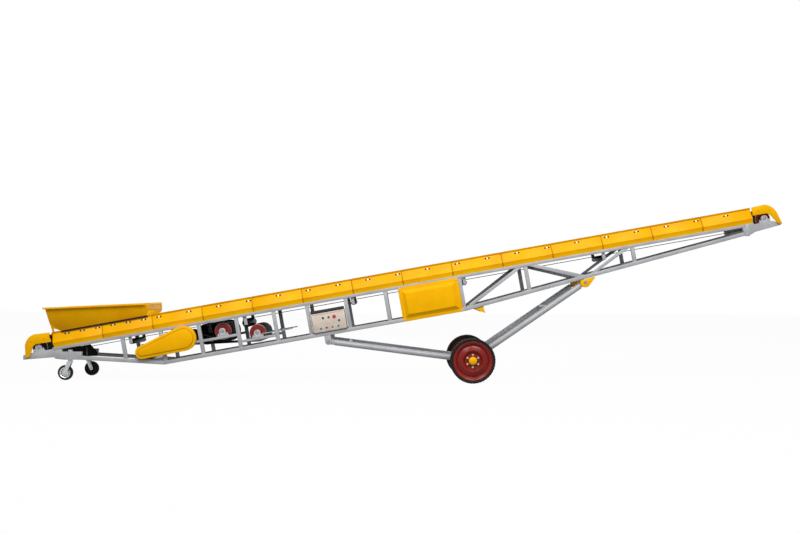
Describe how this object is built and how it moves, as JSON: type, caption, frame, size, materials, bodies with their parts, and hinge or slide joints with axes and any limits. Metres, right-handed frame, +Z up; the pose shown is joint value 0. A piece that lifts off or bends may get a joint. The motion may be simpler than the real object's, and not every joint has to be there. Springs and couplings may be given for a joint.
{
  "type": "mobile belt conveyor",
  "caption": "Mobile troughed belt conveyor: sloping truss boom with side skirts, loading hopper, belt drive, castors and a wheeled undercarriage that raises the head end.",
  "frame": {"origin": "middle of the machine's box on the ground", "axes": "+X from the low tail end to the raised head end, +Y to the far side, +Z up"},
  "size_m": [9.9964, 1.248, 2.3661],
  "materials": {
    "yellow_paint": "gloss enamel",
    "grey_paint": "silver grey enamel",
    "cast_grey": "painted casting",
    "dark_red_paint": "gloss enamel",
    "black_paint": "satin enamel",
    "steel": "turned",
    "belt_rubber": "matt",
    "tyre_rubber": "matt",
    "zinc_steel": "zinc plated",
    "beige_paint": "textured enamel",
    "button_plastic": "gloss"
  },
  "bodies": {
    "boom": {"arm_hangers": "grey_paint", "belt_carrying_run": "belt_rubber", "belt_drum_wraps": "belt_rubber", "belt_return_runs": "belt_rubber", "bottom_chords": "grey_paint", "control_box": "beige_paint", "cross_members": "grey_paint", "drive_drums": "steel", "drive_guard": "yellow_paint", "drive_motor": "black_paint", "drum_end_discs": "dark_red_paint", "drum_pillow_blocks": "cast_grey", "drum_rails": "grey_paint", "end_pulley_bearings": "cast_grey", "end_pulleys": "steel", "gear_cover": "black_paint", "head_guard": "yellow_paint", "head_side_plates": "grey_paint", "hopper_walls": "yellow_paint", "idler_cross_bars": "grey_paint", "idler_roll_brackets": "grey_paint", "lift_stops": "yellow_paint", "motor_base": "grey_paint", "nameplate_cover": "yellow_paint", "return_roller_brackets": "grey_paint", "return_rollers": "black_paint", "skirt_panels_far": "yellow_paint", "skirt_panels_near": "yellow_paint", "tail_guard": "yellow_paint", "tail_side_plates": "grey_paint", "takeup_screws": "steel", "top_chords": "grey_paint", "trough_idler_rolls": "black_paint", "truss_diagonals": "grey_paint", "truss_posts": "grey_paint"},
    "lower_arms": {"lower_arm_tubes": "grey_paint", "lower_arm_cross_tube": "grey_paint", "axle_beam": "black_paint"},
    "struts": {"strut_tubes": "grey_paint", "strut_cross_tube": "grey_paint"},
    "trolley": {"trolley_frames": "yellow_paint"},
    "wheel_near": {"wheel_near_tyre": "tyre_rubber", "wheel_near_rim": "dark_red_paint", "wheel_near_cap": "yellow_paint"},
    "wheel_far": {"wheel_far_tyre": "tyre_rubber", "wheel_far_rim": "dark_red_paint", "wheel_far_cap": "yellow_paint"},
    "castor_near_swivel": {"castor_near_fork": "zinc_steel"},
    "castor_near_wheel": {"castor_near_tyre": "tyre_rubber", "castor_near_hub": "zinc_steel"},
    "castor_far_swivel": {"castor_far_fork": "zinc_steel"},
    "castor_far_wheel": {"castor_far_tyre": "tyre_rubber", "castor_far_hub": "zinc_steel"},
    "box_door": {"control_box_door": "beige_paint", "door_buttons": "button_plastic"}
  },
  "joints": [
    {"name": "arm_lift", "type": "hinge", "parent": "boom", "child": "lower_arms", "pos_m": [-0.97439, 0, 0.52746], "axis": [0, 1, 0], "range_deg": [0, 33]},
    {"name": "strut_fold", "type": "hinge", "parent": "lower_arms", "child": "struts", "pos_m": [0.91925, 0, 0.295], "axis": [0, 1, 0], "range_deg": [-66.5, 0]},
    {"name": "trolley_turn", "type": "hinge", "parent": "struts", "child": "trolley", "pos_m": [2.41079, 0, 1.32815], "axis": [0, 1, 0], "range_deg": [0, 33.5]},
    {"name": "wheel_near_spin", "type": "hinge", "parent": "lower_arms", "child": "wheel_near", "pos_m": [0.91925, -0.54, 0.295], "axis": [0, 1, 0], "continuous": true},
    {"name": "wheel_far_spin", "type": "hinge", "parent": "lower_arms", "child": "wheel_far", "pos_m": [0.91925, 0.54, 0.295], "axis": [0, 1, 0], "continuous": true},
    {"name": "castor_near_turn", "type": "hinge", "parent": "boom", "child": "castor_near_swivel", "pos_m": [-4.38375, -0.38, 0.25], "axis": [0, 0, 1], "continuous": true},
    {"name": "castor_near_spin", "type": "hinge", "parent": "castor_near_swivel", "child": "castor_near_wheel", "pos_m": [-4.44574, -0.38, 0.1], "axis": [0, 1, 0], "continuous": true},
    {"name": "castor_far_turn", "type": "hinge", "parent": "boom", "child": "castor_far_swivel", "pos_m": [-4.38375, 0.38, 0.25], "axis": [0, 0, 1], "continuous": true},
    {"name": "castor_far_spin", "type": "hinge", "parent": "castor_far_swivel", "child": "castor_far_wheel", "pos_m": [-4.32174, 0.38, 0.1], "axis": [0, 1, 0], "continuous": true},
    {"name": "box_door_swing", "type": "hinge", "parent": "boom", "child": "box_door", "pos_m": [-1.19174, -0.415, 0.75286], "axis": [0.1809, 0, -0.9835], "range_deg": [0, 110]}
  ],
  "couplings": [
    {"joint": "strut_fold", "follows": "arm_lift", "ratio": -2.0125},
    {"joint": "trolley_turn", "follows": "arm_lift", "ratio": 1.0125}
  ]
}
